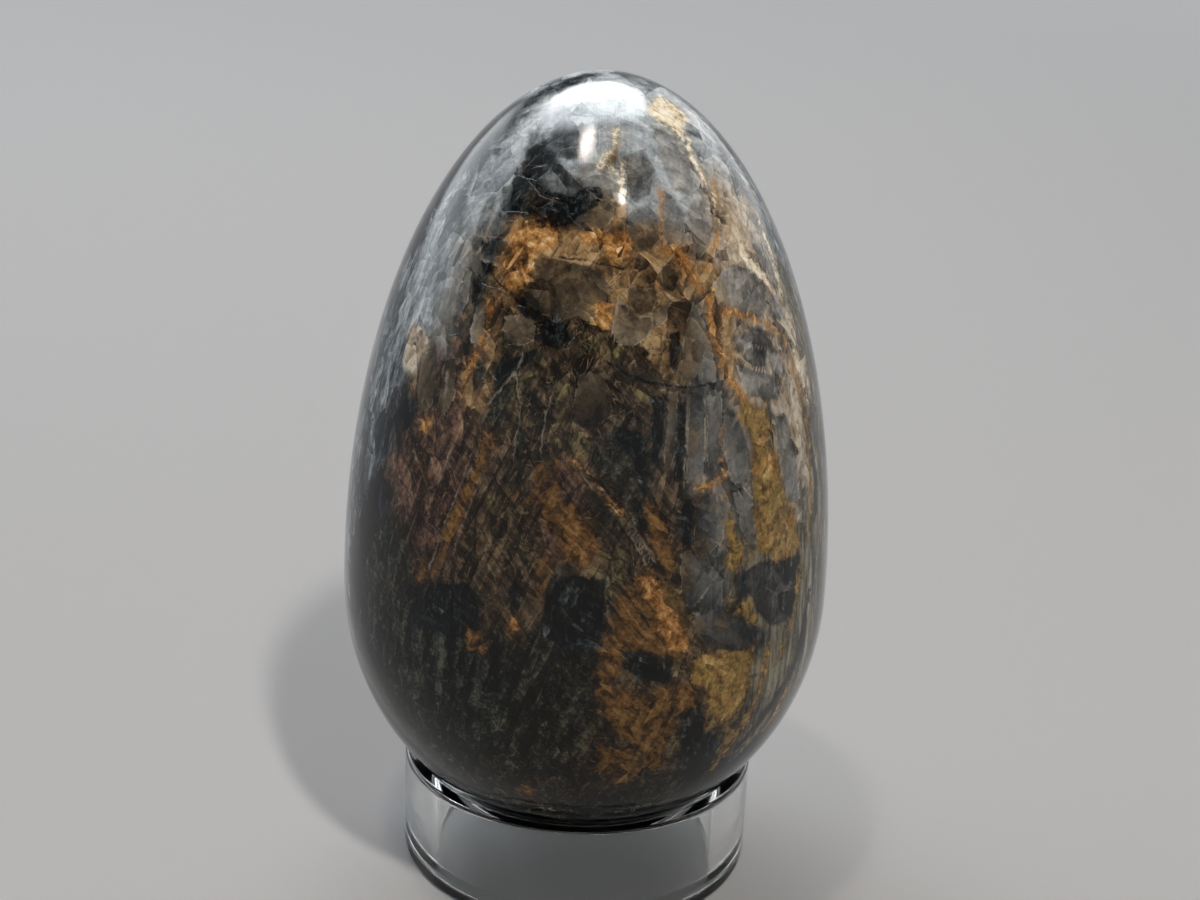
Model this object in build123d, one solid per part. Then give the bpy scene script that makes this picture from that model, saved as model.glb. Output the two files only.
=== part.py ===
from build123d import *

import math
import os

# Decorative stone egg standing in a clear ring.
# Millimetres, +Z up. The origin is the middle of the ring's underside, on the table.

# Stone egg: a solid of revolution, two half ellipses that share the widest level
egg_diameter = 43.2
egg_length = 69.0
blunt_height = 23.2  # from the blunt end up to the widest level

# Ring stand: a turned ring with a bevelled seat round its upper inner edge
ring_diameter = 32.0
ring_height = 10.0
ring_wall = 3.0
seat_width = 1.6  # of the bevel, along the radius
edge_round = 0.4  # polished corners

# How far the egg stands off its seat, square to both
seat_clearance = 0.1

egg_radius = egg_diameter / 2
ring_radius = ring_diameter / 2
bore_radius = ring_radius - ring_wall

# The egg touches the middle of the bevel, and the bevel has the egg's own slope there
touch_radius = bore_radius + seat_width / 2
touch_drop = blunt_height * math.sqrt(1 - (touch_radius / egg_radius) ** 2)
seat_slope = blunt_height**2 * touch_radius / (egg_radius**2 * touch_drop)
seat_angle = math.atan(seat_slope)
seat_depth = seat_width * seat_slope

# Level of the seat below the touching point, then the egg's widest level above it
seat_level = ring_height - (seat_width / 2 - seat_clearance * math.sin(seat_angle)) * seat_slope
widest_level = seat_level + seat_clearance * math.cos(seat_angle) + touch_drop


def quarter_ellipse(start, corner, end):
    """A quarter ellipse inside the corner of its box, drawn as an exact conic."""
    return Bezier(start, corner, end, weights=[1, math.sqrt(0.5), 1])


def stone_egg():
    """Ground and polished egg, blunt end down, its long axis upright."""
    bottom = widest_level - blunt_height
    top = bottom + egg_length
    widest = (egg_radius, widest_level)
    blunt_end = quarter_ellipse((0, bottom), (egg_radius, bottom), widest)
    pointed_end = quarter_ellipse(widest, (egg_radius, top), (0, top))
    half_section = make_face([blunt_end, pointed_end, Line((0, top), (0, bottom))])
    return revolve(Plane.XZ * half_section, Axis.Z)


def ring_stand():
    """Clear ring cut from thick tube, bevelled inside at the top, with its corners polished round."""
    section = make_face(
        Polyline(
            (bore_radius, 0),
            (ring_radius, 0),
            (ring_radius, ring_height),
            (bore_radius + seat_width, ring_height),
            (bore_radius, ring_height - seat_depth),
            close=True,
        )
    )
    section = fillet(section.vertices(), edge_round)
    return revolve(Plane.XZ * section, Axis.Z)


os.makedirs("parts", exist_ok=True)
for node, solid in {"stone_egg": stone_egg(), "ring_stand": ring_stand()}.items():
    export_step(solid, f"parts/{node}.step")
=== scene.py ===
import math

import bmesh
import bpy
import numpy as np
from mathutils import Matrix, Vector


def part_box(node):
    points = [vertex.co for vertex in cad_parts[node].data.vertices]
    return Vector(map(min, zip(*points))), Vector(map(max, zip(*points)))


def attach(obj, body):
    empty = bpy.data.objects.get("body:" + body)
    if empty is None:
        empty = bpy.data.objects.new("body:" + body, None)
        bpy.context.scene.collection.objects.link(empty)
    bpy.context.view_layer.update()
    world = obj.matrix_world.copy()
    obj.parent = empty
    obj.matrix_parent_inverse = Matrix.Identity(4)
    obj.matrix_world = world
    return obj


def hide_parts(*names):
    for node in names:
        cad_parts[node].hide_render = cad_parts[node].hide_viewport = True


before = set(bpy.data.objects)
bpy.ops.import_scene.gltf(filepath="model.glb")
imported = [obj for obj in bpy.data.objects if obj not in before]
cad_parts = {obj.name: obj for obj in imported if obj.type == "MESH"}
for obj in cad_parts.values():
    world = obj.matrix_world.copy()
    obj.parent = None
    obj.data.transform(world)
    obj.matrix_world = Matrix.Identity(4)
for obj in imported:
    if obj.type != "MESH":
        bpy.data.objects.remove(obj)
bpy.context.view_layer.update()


# Ring stand: a short length of thick clear acrylic tube, turned with a bevelled seat round its upper
# inner edge. It stands loose on the table and carries the egg by the egg's own weight.
ring_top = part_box("ring_stand")[1]
ring_radius = ring_top.x
ring_height = ring_top.z
ring_wall = 0.003
seat_width = 0.0016
seat_depth = 0.00143
corner_round = 0.0004
ring_segments = 256


def turned_outline(corners, round_radius, arc_steps=6):
    """A closed outline with round corners, and a support point beside each arc to hold the flats flat."""
    support = 0.3
    points = []
    for before, corner, after in zip(corners[-1:] + corners[:-1], corners, corners[1:] + corners[:1]):
        corner = Vector(corner)
        back = (Vector(before) - corner).normalized()
        ahead = (Vector(after) - corner).normalized()
        half_angle = back.angle(ahead) / 2
        reach = round_radius / math.tan(half_angle)
        middle = corner + (back + ahead).normalized() * round_radius / math.sin(half_angle)
        start = corner + back * reach - middle
        end = corner + ahead * reach - middle
        points.append(middle + start + back * reach * support)
        for step in range(arc_steps + 1):
            points.append(middle + start.slerp(end, step / arc_steps) * round_radius)
        points.append(middle + end + ahead * reach * support)
    return points


def lathe(name, outline, segments):
    """A closed ring: the outline, given as radius and height, turned once about the upright axis."""
    turns = [2 * math.pi * k / segments for k in range(segments)]
    verts = [(p.x * math.cos(a), p.x * math.sin(a), p.y) for a in turns for p in outline]
    count = len(outline)
    faces = []
    for k in range(segments):
        here, there = k * count, (k + 1) % segments * count
        for i in range(count):
            j = (i + 1) % count
            faces.append((here + i, there + i, there + j, here + j))
    mesh = bpy.data.meshes.new(name)
    mesh.from_pydata(verts, [], faces)
    shell = bmesh.new()
    shell.from_mesh(mesh)
    bmesh.ops.recalc_face_normals(shell, faces=shell.faces)
    shell.to_mesh(mesh)
    shell.free()
    mesh.shade_smooth()
    piece = bpy.data.objects.new(name, mesh)
    bpy.context.scene.collection.objects.link(piece)
    return piece


def add_node(tree, kind, *filled, operation=None, **named):
    """A node with its inputs filled in order, or by name with _ for a space, from sockets or plain values."""
    made = tree.nodes.new(kind)
    if operation:
        made.operation = operation
    pairs = list(zip(made.inputs, filled))
    pairs += [(made.inputs[name.replace("_", " ")], value) for name, value in named.items()]
    for socket, value in pairs:
        if isinstance(value, bpy.types.NodeSocket):
            tree.links.new(value, socket)
        elif value is not None:
            socket.default_value = value
    return made


bore_radius = ring_radius - ring_wall
ring_corners = [
    (bore_radius, 0),
    (ring_radius, 0),
    (ring_radius, ring_height),
    (bore_radius + seat_width, ring_height),
    (bore_radius, ring_height - seat_depth),
]
ring = lathe("clear_ring", turned_outline(ring_corners, corner_round), ring_segments)

clear_acrylic = bpy.data.materials.new("clear_acrylic")
clear_acrylic.use_nodes = True
acrylic_tree = clear_acrylic.node_tree
acrylic = acrylic_tree.nodes["Principled BSDF"]
acrylic.inputs["Base Color"].default_value = (0.97, 0.985, 0.98, 1)
acrylic.inputs["Transmission Weight"].default_value = 1.0
acrylic.inputs["IOR"].default_value = 1.49
# Handling wear: a faint smear all over, and fine turning lines that run round the tube
acrylic_place = add_node(acrylic_tree, "ShaderNodeTexCoord").outputs["Object"]
smear = add_node(acrylic_tree, "ShaderNodeTexNoise", Vector=acrylic_place, Scale=260.0, Detail=4.0).outputs[0]
smeared = add_node(acrylic_tree, "ShaderNodeMapRange", smear, 0.35, 0.75, 0.015, 0.09).outputs[0]
acrylic_tree.links.new(smeared, acrylic.inputs["Roughness"])
rows = add_node(acrylic_tree, "ShaderNodeMapping", acrylic_place, Scale=(60.0, 60.0, 5200.0)).outputs[0]
lines = add_node(acrylic_tree, "ShaderNodeTexNoise", Vector=rows, Scale=1.0, Detail=2.0).outputs[0]
turned = add_node(acrylic_tree, "ShaderNodeBump", Strength=0.05, Distance=0.00002, Height=lines).outputs[0]
acrylic_tree.links.new(turned, acrylic.inputs["Normal"])
ring.data.materials.append(clear_acrylic)
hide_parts("ring_stand")
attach(ring, "stand")


# Stone egg: one lump of dark, see-into stone, ground to an egg and polished. It is two half ellipses
# turned about the upright axis, and sits loose in the ring with its blunt end down.
egg_low, egg_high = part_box("stone_egg")
egg_radius = egg_high.x
blunt_height = 0.0232
widest_level = egg_low.z + blunt_height
point_height = egg_high.z - widest_level

polished_stone = bpy.data.materials.new("polished_stone")
polished_stone.use_nodes = True


def math_node(tree, operation, *filled):
    """The level that one sum gives."""
    return add_node(tree, "ShaderNodeMath", *filled, operation=operation).outputs[0]


def egg_form_tree(material):
    """Geometry nodes: a cube of even cells, swelled to a ball and drawn out to two half ellipses."""
    tree = bpy.data.node_groups.new("egg_form", "GeometryNodeTree")
    for label in ("Radius", "Blunt Height", "Point Height", "Widest Level"):
        tree.interface.new_socket(label, in_out="INPUT", socket_type="NodeSocketFloat")
    tree.interface.new_socket("Cells", in_out="INPUT", socket_type="NodeSocketInt")
    tree.interface.new_socket("Geometry", in_out="OUTPUT", socket_type="NodeSocketGeometry")

    given = tree.nodes.new("NodeGroupInput").outputs
    cells = given["Cells"]
    cube = add_node(tree, "GeometryNodeMeshCube", (2, 2, 2), cells, cells, cells).outputs["Mesh"]
    place = tree.nodes.new("GeometryNodeInputPosition").outputs[0]
    # The tangent evens out the cells between a face's middle and its corners
    eighth = add_node(tree, "ShaderNodeVectorMath", place, operation="SCALE", Scale=math.pi / 4).outputs[0]
    spread = add_node(tree, "ShaderNodeVectorMath", eighth, operation="TANGENT").outputs[0]
    ball = add_node(tree, "ShaderNodeVectorMath", spread, operation="NORMALIZE").outputs[0]
    along = add_node(tree, "ShaderNodeSeparateXYZ", ball).outputs
    above = math_node(tree, "GREATER_THAN", along[2], 0.0)
    heights = (given["Blunt Height"], given["Point Height"])
    reach = add_node(tree, "ShaderNodeMix", above, None, *heights).outputs[0]
    across_x = math_node(tree, "MULTIPLY", along[0], given["Radius"])
    across_y = math_node(tree, "MULTIPLY", along[1], given["Radius"])
    height = math_node(tree, "MULTIPLY_ADD", along[2], reach, given["Widest Level"])
    drawn = add_node(tree, "ShaderNodeCombineXYZ", across_x, across_y, height).outputs[0]
    egg = add_node(tree, "GeometryNodeSetPosition", cube, Position=drawn).outputs[0]
    smooth = add_node(tree, "GeometryNodeSetShadeSmooth", egg).outputs[0]
    whole = add_node(tree, "GeometryNodeRealizeInstances", smooth).outputs[0]
    dressed = add_node(tree, "GeometryNodeSetMaterial", whole, Material=material).outputs[0]
    tree.links.new(dressed, tree.nodes.new("NodeGroupOutput").inputs[0])
    return tree


def grown(name, tree, values):
    """A plain mesh piece grown by a geometry tree, with its named inputs set."""
    seed = bpy.data.objects.new(name + "_seed", bpy.data.meshes.new(name + "_seed"))
    bpy.context.scene.collection.objects.link(seed)
    modifier = seed.modifiers.new(name, "NODES")
    modifier.node_group = tree
    for item in tree.interface.items_tree:
        if item.in_out == "INPUT":
            modifier[item.identifier] = values[item.name]
    graph = bpy.context.evaluated_depsgraph_get()
    mesh = bpy.data.meshes.new_from_object(seed.evaluated_get(graph))
    mesh.name = name
    bpy.data.objects.remove(seed)
    piece = bpy.data.objects.new(name, mesh)
    bpy.context.scene.collection.objects.link(piece)
    return piece


egg_sizes = {
    "Radius": egg_radius,
    "Blunt Height": blunt_height,
    "Point Height": point_height,
    "Widest Level": widest_level,
    "Cells": 127,
}
egg = grown("polished_egg", egg_form_tree(polished_stone), egg_sizes)
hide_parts("stone_egg")
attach(egg, "egg")


# Minerals in the stone: clear and black shards, iron stain in the cracks between them, and healed seams.
# Each is laid on the egg in degrees round from its front and millimetres above the table, as in the
# photograph for those in front and by chance for those behind.
black_shards = [
    [(-40, 67), (-31.5, 66.7), (-23.5, 66.1), (-15.5, 65.9), (-10.5, 65.8), (-7, 66.4), (-1, 66.5),
     (1, 65.8), (-4, 64.9), (-8, 64.5), (-9, 63.9), (-13, 63.5), (-17.5, 63.4), (-22.5, 63.6),
     (-28, 63.7), (-34, 64.2), (-38, 65.6)],
    [(-40.5, 60.5), (-32.5, 60.2), (-35, 59.1)],
    [(-40, 59), (-37.5, 59.3), (-33.5, 58.3), (-34.5, 56.6), (-38, 57.3)],
    [(-26.5, 58.5), (-23, 58.8), (-17.5, 57.7), (-10, 57.1), (-16, 56.8), (-21.5, 57.1)],
    [(-15.5, 56.9), (-8.5, 57), (-6, 55.7), (-10, 54.7), (-14.5, 55.1)],
    [(-14.5, 54.9), (-17, 53.4), (-22.5, 52.1), (-25, 51.6), (-26, 52.7), (-21.5, 54)],
    [(20, 56.3), (23.5, 56.4), (23.5, 54.8), (21.5, 53.3), (19, 53.8)],
    [(-32, 53), (-29.5, 53.5), (-28, 52), (-30.2, 50.4), (-32, 51.5)],
    [(-56, 49), (-53, 49.5), (-50, 47), (-48.5, 45.6), (-51, 46)],
    [(14.5, 51.8), (18.3, 51.7), (17.3, 48.2), (16.3, 46.4), (14, 46.6), (14.6, 48.6)],
    [(21, 51.1), (24, 51.1), (23, 48.1), (22, 44.6), (19, 44.7), (20.5, 47.4)],
    [(21, 43.5), (24.5, 43.4), (24, 39.4), (21, 39.6)],
    [(4, 48.6), (8, 49.4), (12.8, 48.6), (11.5, 46.4)],
    [(9.5, 46.8), (12.6, 47.4), (12.6, 44)],
    [(-8, 36.6), (-7, 37.2), (-2.5, 37.5), (4.5, 37), (5, 32.4), (2.5, 30.8), (-5.5, 31), (-9.5, 32),
     (-9, 35.1)],
    [(-17.2, 35.4), (-15, 36.6), (-13.6, 35.6), (-13.8, 33.4), (-16, 33.4)],
    [(-45, 33), (-39, 34.2), (-26, 35.3), (-23, 34.1), (-23.5, 31.4), (-30, 29.8), (-38, 30.2)],
    [(9.5, 31), (15, 30.7), (20.5, 30.1), (20, 27.5), (14, 28), (8.5, 29.4)],
    [(46, 36.3), (58, 35.6), (59, 33), (51, 33.6)],
    [(48.5, 33.2), (58, 32.6), (54.5, 30), (49, 31.4)],
    [(23.5, 25), (27.5, 24.9), (30, 23.3), (30, 19.9), (27, 18.8), (23.5, 21.7)],
    [(30.5, 22), (33.8, 21.4), (34, 18.6), (32.5, 17.2), (30.4, 18.4)],
    [(0, 14.9), (8, 14.6), (18, 14), (17, 13.3), (8, 13.1), (0, 13.2)],
]
# A clear shard has a tone as well, from 0 for dark to 1 for pale
clear_shards = [
    (0.0, [(-40, 67.4), (-36.5, 67.7), (-26.5, 67.9), (-19, 67.8), (-9, 66.6), (-3.5, 66.1),
           (-6.5, 65.9), (-11, 65.3), (-16.5, 65.4), (-23, 65.7), (-30.5, 66.3)]),
    (0.06, [(-42, 65.5), (-37, 66), (-32.5, 64.7), (-27.5, 64.1), (-34, 63.7), (-37.5, 64)]),
    (0.2, [(-42.5, 65.1), (-41, 63.5), (-40, 61.7), (-40.5, 60.7), (-43.5, 61.1), (-46, 62.9),
           (-46.5, 64.4)]),
    (0.1, [(-42, 61.7), (-31, 62.1), (-29, 61.2), (-39.5, 60.8)]),
    (0.3, [(-39, 64), (-35, 63.6), (-31, 63.4), (-31, 62.4), (-40.5, 62)]),
    (0.24, [(-26, 60.7), (-19, 61.4), (-9, 61.3), (0.5, 60.7), (4, 59.5), (2.5, 57.9), (-1.5, 57.3),
            (-10, 57.2), (-17.5, 57.7), (-23, 58.8)]),
    (0.5, [(-26, 56.9), (-21.5, 57), (-16, 56.6), (-16, 55.3), (-21.5, 54.7), (-25.5, 55.6)]),
    (0.58, [(-35.5, 58), (-32, 57), (-30.5, 55), (-33, 53.6), (-35.5, 55)]),
    (0.45, [(-43, 59.4), (-40.5, 59.4), (-38.8, 57.2), (-40.2, 55.4), (-42, 55.6)]),
    (0.06, [(-35, 67.4), (-39.5, 68.4), (-35.5, 68.9), (-29.5, 69.5), (-31.5, 70.4), (-21.5, 70.6),
            (-13.5, 69.8), (-11, 68.4), (-15.5, 68.1), (-22.5, 68.2), (-25.5, 67.6), (-31, 67.3)]),
    (0.66, [(-10, 67.9), (-5, 68.1), (1, 67.9), (8, 67.8), (8.5, 66.8), (7, 65.5), (3.5, 65.6),
            (-2, 66.1), (-8, 66.6), (-11, 67.1)]),
    (0.46, [(9, 68.5), (18.5, 68.8), (24.5, 67.9), (19.5, 65.9), (11, 65.7)]),
    (0.56, [(30, 70.1), (46, 70.2), (48, 68.5), (37.5, 65.6), (31, 66.2), (28, 68.2)]),
    (0.36, [(-10, 63.8), (-10, 64.3), (-6.5, 65.1), (-1.5, 65.5), (2.5, 65.5), (5.5, 65.2), (4.5, 64.5),
            (2.5, 63.9), (-1, 63.6), (-6, 63.6), (-8.5, 63.7)]),
    (0.36, [(9.5, 64.7), (13, 65.2), (18, 65.3), (21, 64.6), (20.5, 62.9), (17, 62.2), (11, 62.1),
            (9, 63)]),
    (0.52, [(25, 66.3), (28.5, 65.8), (31.5, 64.4), (30, 62.4), (25.5, 62.1), (21.5, 62.5),
            (22, 64.3)]),
    (0.58, [(35, 65.3), (40.5, 65.3), (45, 64.7), (40, 62.4), (33.5, 61.2), (30.5, 62)]),
    (0.6, [(36.5, 59.3), (41, 60.2), (49, 60.2), (55.5, 59.3), (58.5, 57.9), (56, 56.7), (51, 56),
           (43.5, 56.8), (36.5, 57.7)]),
    (0.55, [(58, 57), (63, 57.1), (66.5, 55.5), (62.5, 55), (56.5, 55.7)]),
    (0.2, [(8.5, 59.5), (11.5, 59.8), (13.5, 59.3), (16, 59.7), (18.5, 58.8), (15.5, 57.9), (12, 57.7),
           (9.5, 58.5)]),
    (0.42, [(4.5, 56.6), (6, 58.8), (8.5, 58.3), (11, 57.5), (16, 57.6), (15, 56.4), (10.5, 55.4),
            (5.5, 55.6)]),
    (0.46, [(29, 58.6), (31, 56.9), (32.5, 54.6), (33, 52.1), (27, 52.2), (22.5, 52.8), (24, 55.3),
            (26, 57.2)]),
    (0.14, [(19.5, 61.1), (24, 61.2), (25, 60), (23, 59.1), (19.5, 59.5)]),
    (0.4, [(14, 57.4), (18, 58.2), (22, 58.6), (20, 57.3), (17, 56.6)]),
    (0.3, [(45.5, 55.5), (50, 55.5), (55.5, 54.3), (53.5, 53.5), (46.5, 54.3)]),
    (0.2, [(41, 53.7), (46, 54), (52, 53.5), (50, 52.2), (45, 52.7)]),
    (0.62, [(39.5, 55.2), (44, 55.4), (48, 54.2), (43.5, 53.9), (39.5, 54.3)]),
    (0.62, [(39, 53.3), (43.5, 52.5), (50, 51.7), (55, 50.5), (53, 49.5), (42, 50.4)]),
    (0.62, [(52, 53.8), (57, 53), (58, 51), (53, 51.4)]),
    (0.26, [(4.5, 53.8), (9.5, 54.1), (16, 53.1), (25, 52.3), (17, 52.1), (9, 52.8)]),
    (0.3, [(19, 51.7), (21.5, 51.8), (20.5, 47.4), (18.5, 45.7), (17, 45.7), (18, 48.2)]),
    (0.33, [(24.5, 51.9), (29, 51.9), (28, 47.8), (27, 44.4), (22.5, 44.6), (23.5, 48)]),
    (0.38, [(29.5, 51.8), (34, 51.5), (32, 44.7), (28, 44.7)]),
    (0.4, [(34, 50.1), (38, 49.3), (40, 46.3), (41, 43.6), (34.5, 44), (33, 46.8)]),
    (0.32, [(24.5, 43.5), (32, 43.3), (32, 39.4), (28, 38.4), (24.5, 39.2)]),
    (0.44, [(34.5, 43.4), (40.5, 43.1), (41, 40.4), (41.5, 37.3), (37, 39.9)]),
    (0.56, [(50.5, 48.2), (55.5, 47.9), (58.5, 42.9), (58.5, 39.9), (52.5, 41), (50.5, 45.4)]),
    (0.36, [(21.5, 39.4), (27.5, 38.2), (32, 36), (32, 33.6), (23.5, 34), (21.5, 35.8)]),
    (0.34, [(-50, 52), (-46, 53), (-43, 51), (-42.5, 48.5), (-46, 47.5), (-49, 49)]),
    (0.28, [(-41.5, 52.5), (-38, 52.8), (-36, 50), (-38, 48), (-41, 49)]),
    (0.2, [(-4, 53.4), (2, 53.4), (4.5, 52), (5, 50.4), (1, 49.2), (-3.5, 49.4), (-4.5, 51)]),
    (0.26, [(-6.5, 38.4), (-0.5, 38), (-1, 36.8), (-6, 36.9)]),
    (0.12, [(34.5, 36.2), (41.5, 36.6), (51, 36.2), (58.5, 35.2), (59, 33.2), (54.5, 30), (46.5, 30.4),
            (41.5, 32.5), (40, 34), (35.5, 34.3)]),
    (0.26, [(24.5, 33.4), (30, 33.5), (41.5, 31.9), (43, 29.8), (37, 29.1), (29.5, 30.1), (25, 31.8)]),
]
rust_patches = [
    [(-31, 62.9), (-26.5, 63.6), (-18.5, 63.9), (-13, 63.4), (-14, 62.4), (-19, 61.7), (-22.5, 60.9),
     (-26, 60), (-31, 59.9), (-30.5, 61.3)],
    [(-30, 60.6), (-25, 61.1), (-20.5, 60.7), (-21, 59.4), (-23.5, 58.4), (-28, 58.6)],
    [(-7, 63.5), (1.5, 63.5), (9, 63), (8.5, 61.7), (4, 61.4), (2, 62.4), (-5, 62.6)],
    [(3, 63.4), (8, 63.9), (12, 62.9), (10, 61.7), (5, 61.7)],
    [(-0.5, 58.6), (3.5, 58.8), (4.5, 57.6), (3, 56.6), (0, 56.8)],
    [(-32.5, 57.5), (-30, 57.8), (-28.5, 56.4), (-29.5, 55.2), (-31.5, 55.3)],
    [(-45, 47.3), (-43, 47.8), (-41.5, 46.6), (-42.5, 46), (-44.5, 46.3)],
    [(17, 62.1), (21.5, 62.5), (30, 62.3), (30, 61.2), (32, 59.8), (33, 58.3), (30.5, 59), (27, 60.5),
     (23.5, 61.6)],
    [(36, 52.1), (39, 51.3), (43, 50), (47, 49.2), (42, 49.1), (38.5, 50.6)],
    [(-16.5, 32.9), (-14.5, 33.2), (-14, 32), (-16, 31.7)],
    [(12, 37.2), (14.5, 37.5), (18, 35), (22.5, 32.5), (24, 31.2), (23, 30.1), (19, 30.6), (16.5, 32.8),
     (14, 35.2)],
]
umber_patches = [
    [(-13, 45.6), (-11, 46.4), (-7, 46.3), (-6, 45), (-5.5, 43.7), (-2.5, 42.7), (0.5, 42.1), (3, 40.4),
     (2, 38.2), (-2, 38), (-4.5, 38.9), (-6, 40.2), (-9, 40.9), (-11, 42.7), (-16.5, 43), (-17, 43.6),
     (-12, 43.9)],
    [(6, 33.6), (8.5, 34.3), (12.5, 33.9), (13.5, 35.3), (12, 38.2), (13.5, 38.5), (16, 35.2),
     (17, 31.6), (12.5, 31.3), (8.5, 31.9)],
    [(2.5, 27.7), (5.5, 27.9), (11, 27.3), (15.5, 26.2), (20.5, 26), (22.5, 23.3), (20.5, 20.8),
     (21.5, 18.3), (17.5, 18.4), (13.5, 21.8), (8.5, 22.8), (4.5, 25.7)],
    [(7.5, 36.2), (12, 37.5), (15.5, 37.8), (18, 35.3), (21.5, 33.9), (24, 31.3), (23.5, 29.8),
     (16, 30.6), (10.5, 30.9), (4.5, 31.7), (6.5, 34.1)],
    [(4, 22), (12, 21.4), (16, 18.5), (10, 17.1), (4.5, 19.2)],
    [(13, 27.1), (18, 27.1), (24.5, 27.4), (28, 25.6), (24, 24.2), (16.5, 25.4)],
    [(4, 31), (8, 31.6), (9, 29), (6, 28), (3.5, 29)],
    [(-26, 31.5), (-21.5, 31.6), (-21.5, 29.6), (-26.5, 29.1)],
    [(-42, 35.5), (-38.5, 36), (-37, 34.4), (-40.5, 33.6)],
    [(-8, 38.8), (-8, 36.8), (-9.5, 34.8), (-10.5, 33.4), (-11.5, 34.1), (-10.5, 36), (-10, 38)],
    [(13, 44), (16, 43), (19, 40), (19.5, 37), (17, 37), (14, 40.5)],
    [(-15.5, 15.6), (-12, 17.2), (-9.8, 16), (-11, 14), (-15, 14)],
    [(-26, 48), (-23, 47.4), (-25.5, 44.5), (-30, 40), (-35, 35), (-37, 35), (-33.5, 38.8),
     (-29.5, 43)],
]
ochre_patches = [
    [(38, 50.8), (42.5, 49.8), (48, 49.1), (49, 46.7), (50.5, 43.7), (51.5, 41.8), (54.5, 40),
     (58, 36.8), (57, 35.8), (48.5, 36.1), (42.5, 37.7), (41.5, 40.4), (41.5, 43.7), (41, 46.3),
     (39, 48.8)],
    [(32.5, 43.4), (34, 41.8), (36, 39.5), (37.5, 37.8), (36.5, 36.7), (34.5, 36), (33, 37.7),
     (33, 41.1)],
    [(25.5, 29.4), (28, 29.7), (33, 29.3), (37.5, 29.3), (41, 28.9), (40.5, 26.1), (40, 23.6),
     (35.5, 22.6), (31.5, 23.9), (30, 26.3), (25.5, 27.2), (24.5, 28.4)],
    [(8, 70.3), (8, 69), (8.5, 67.8), (-0.5, 68), (5.5, 69.2)],
    [(34.5, 33), (39.5, 33.6), (42.5, 31.8), (43, 31), (38, 32.1)],
]
cream_patches = [
    [(42.5, 71.6), (59, 71.9), (69.5, 71.5), (70, 71), (65.5, 70.4), (53, 69.9), (48, 69.2),
     (46.5, 69.7), (44.5, 70.2), (37.5, 70.6), (35, 71)],
    [(51, 61.9), (54.5, 61.3), (57.5, 60), (61.5, 58), (58.5, 58.2), (54.5, 59.7), (51, 61)],
]
# A line has half its width in millimetres as well
iron_veins = [
    (0.3, [(36, 57.5), (42, 56.9), (49.5, 56.1), (60.5, 54), (63, 51.7), (64, 48.4)]),
    (0.3, [(35.5, 58.8), (33.5, 57), (34.5, 54.5), (37, 52.1), (40.5, 50.3)]),
    (0.25, [(25.5, 43.8), (29.5, 44.3), (32.5, 44.5)]),
    (0.1, [(33, 48.5), (32.5, 46.4), (32.5, 44.5)]),
    (0.25, [(-31, 55), (-32, 53.7), (-33.5, 52), (-34, 50.4)]),
    (0.15, [(24, 66.3), (22.5, 64.3), (21, 62.5)]),
    (0.1, [(-3.5, 46.4), (2.5, 44.7), (8.5, 42.5)]),
    (0.08, [(-23.5, 46.1), (-27, 47.4)]),
    (0.12, [(-43, 43.7), (-40.5, 42.8), (-39, 41.8)]),
    (0.2, [(53, 66.3), (47.5, 64.3), (42, 62.4), (35, 60.4)]),
    (0.15, [(10.5, 61.4), (13, 60.8), (16, 60.1), (18, 59.7)]),
    (0.35, [(57, 22.6), (55.5, 20.7), (53, 19.4)]),
    (0.3, [(44, 22.8), (41, 20.6), (39, 19)]),
]
tan_stripes = [
    (0.25, [(65, 48.2), (66, 44.6), (64.5, 39.5), (62, 36.2)]),
    (0.35, [(46, 28.4), (44.5, 24.6), (42.5, 22.6), (39, 20), (37, 16.9)]),
    (0.25, [(58, 35), (56.5, 31.5), (53, 28.2), (49.5, 26.4)]),
]
cream_stripes = [
    (0.12, [(8, 70.3), (5.5, 69.2), (-0.5, 68), (3.5, 67.9), (8.5, 67.8)]),
    (0.1, [(8, 68.3), (8.5, 67.4), (8, 66.2)]),
    (0.18, [(50.5, 69.3), (46.5, 67.9), (47.5, 66.5), (47.5, 65.2), (46, 63.5)]),
    (0.25, [(65, 52.8), (66.5, 50.4), (69.5, 48)]),
    (0.2, [(70.5, 62.8), (68.5, 60.1), (66, 56.4)]),
]
dark_stripes = [
    (0.45, [(65, 47), (66.5, 43.6), (68.5, 40.8), (66.5, 37.4)]),
    (0.5, [(53, 23.1), (49.5, 21.3), (46.5, 20), (43, 18.7)]),
    (0.3, [(71.5, 44), (73, 38), (71, 33)]),
    (0.45, [(63, 31), (59, 25.5), (54, 21), (50, 18)]),
    (0.4, [(72, 32), (70, 27), (66, 22), (61, 17.5)]),
]
black_cracks = [
    (0.08, [(-11, 61.6), (-4, 61.5), (3, 61.2), (8, 61), (10, 61.4)]),
    (0.12, [(4.5, 54.1), (9, 53.3), (14, 52.75), (20, 52.3), (26, 52), (30, 52.1)]),
    (0.1, [(-35, 59.8), (-28, 58.8), (-22, 58)]),
    (0.08, [(0, 45.6), (5, 44.2), (10, 42.2), (15, 39.4), (18, 36.8)]),
    (0.08, [(-2, 48), (4, 46.6), (9, 44.6), (13, 42.4)]),
    (0.08, [(9.8, 35.5), (12, 34.4), (14.5, 33)]),
    (0.08, [(-17, 50), (-17.2, 47), (-16, 45)]),
    (0.06, [(-13, 49), (-14, 46), (-13.5, 44)]),
]
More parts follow.
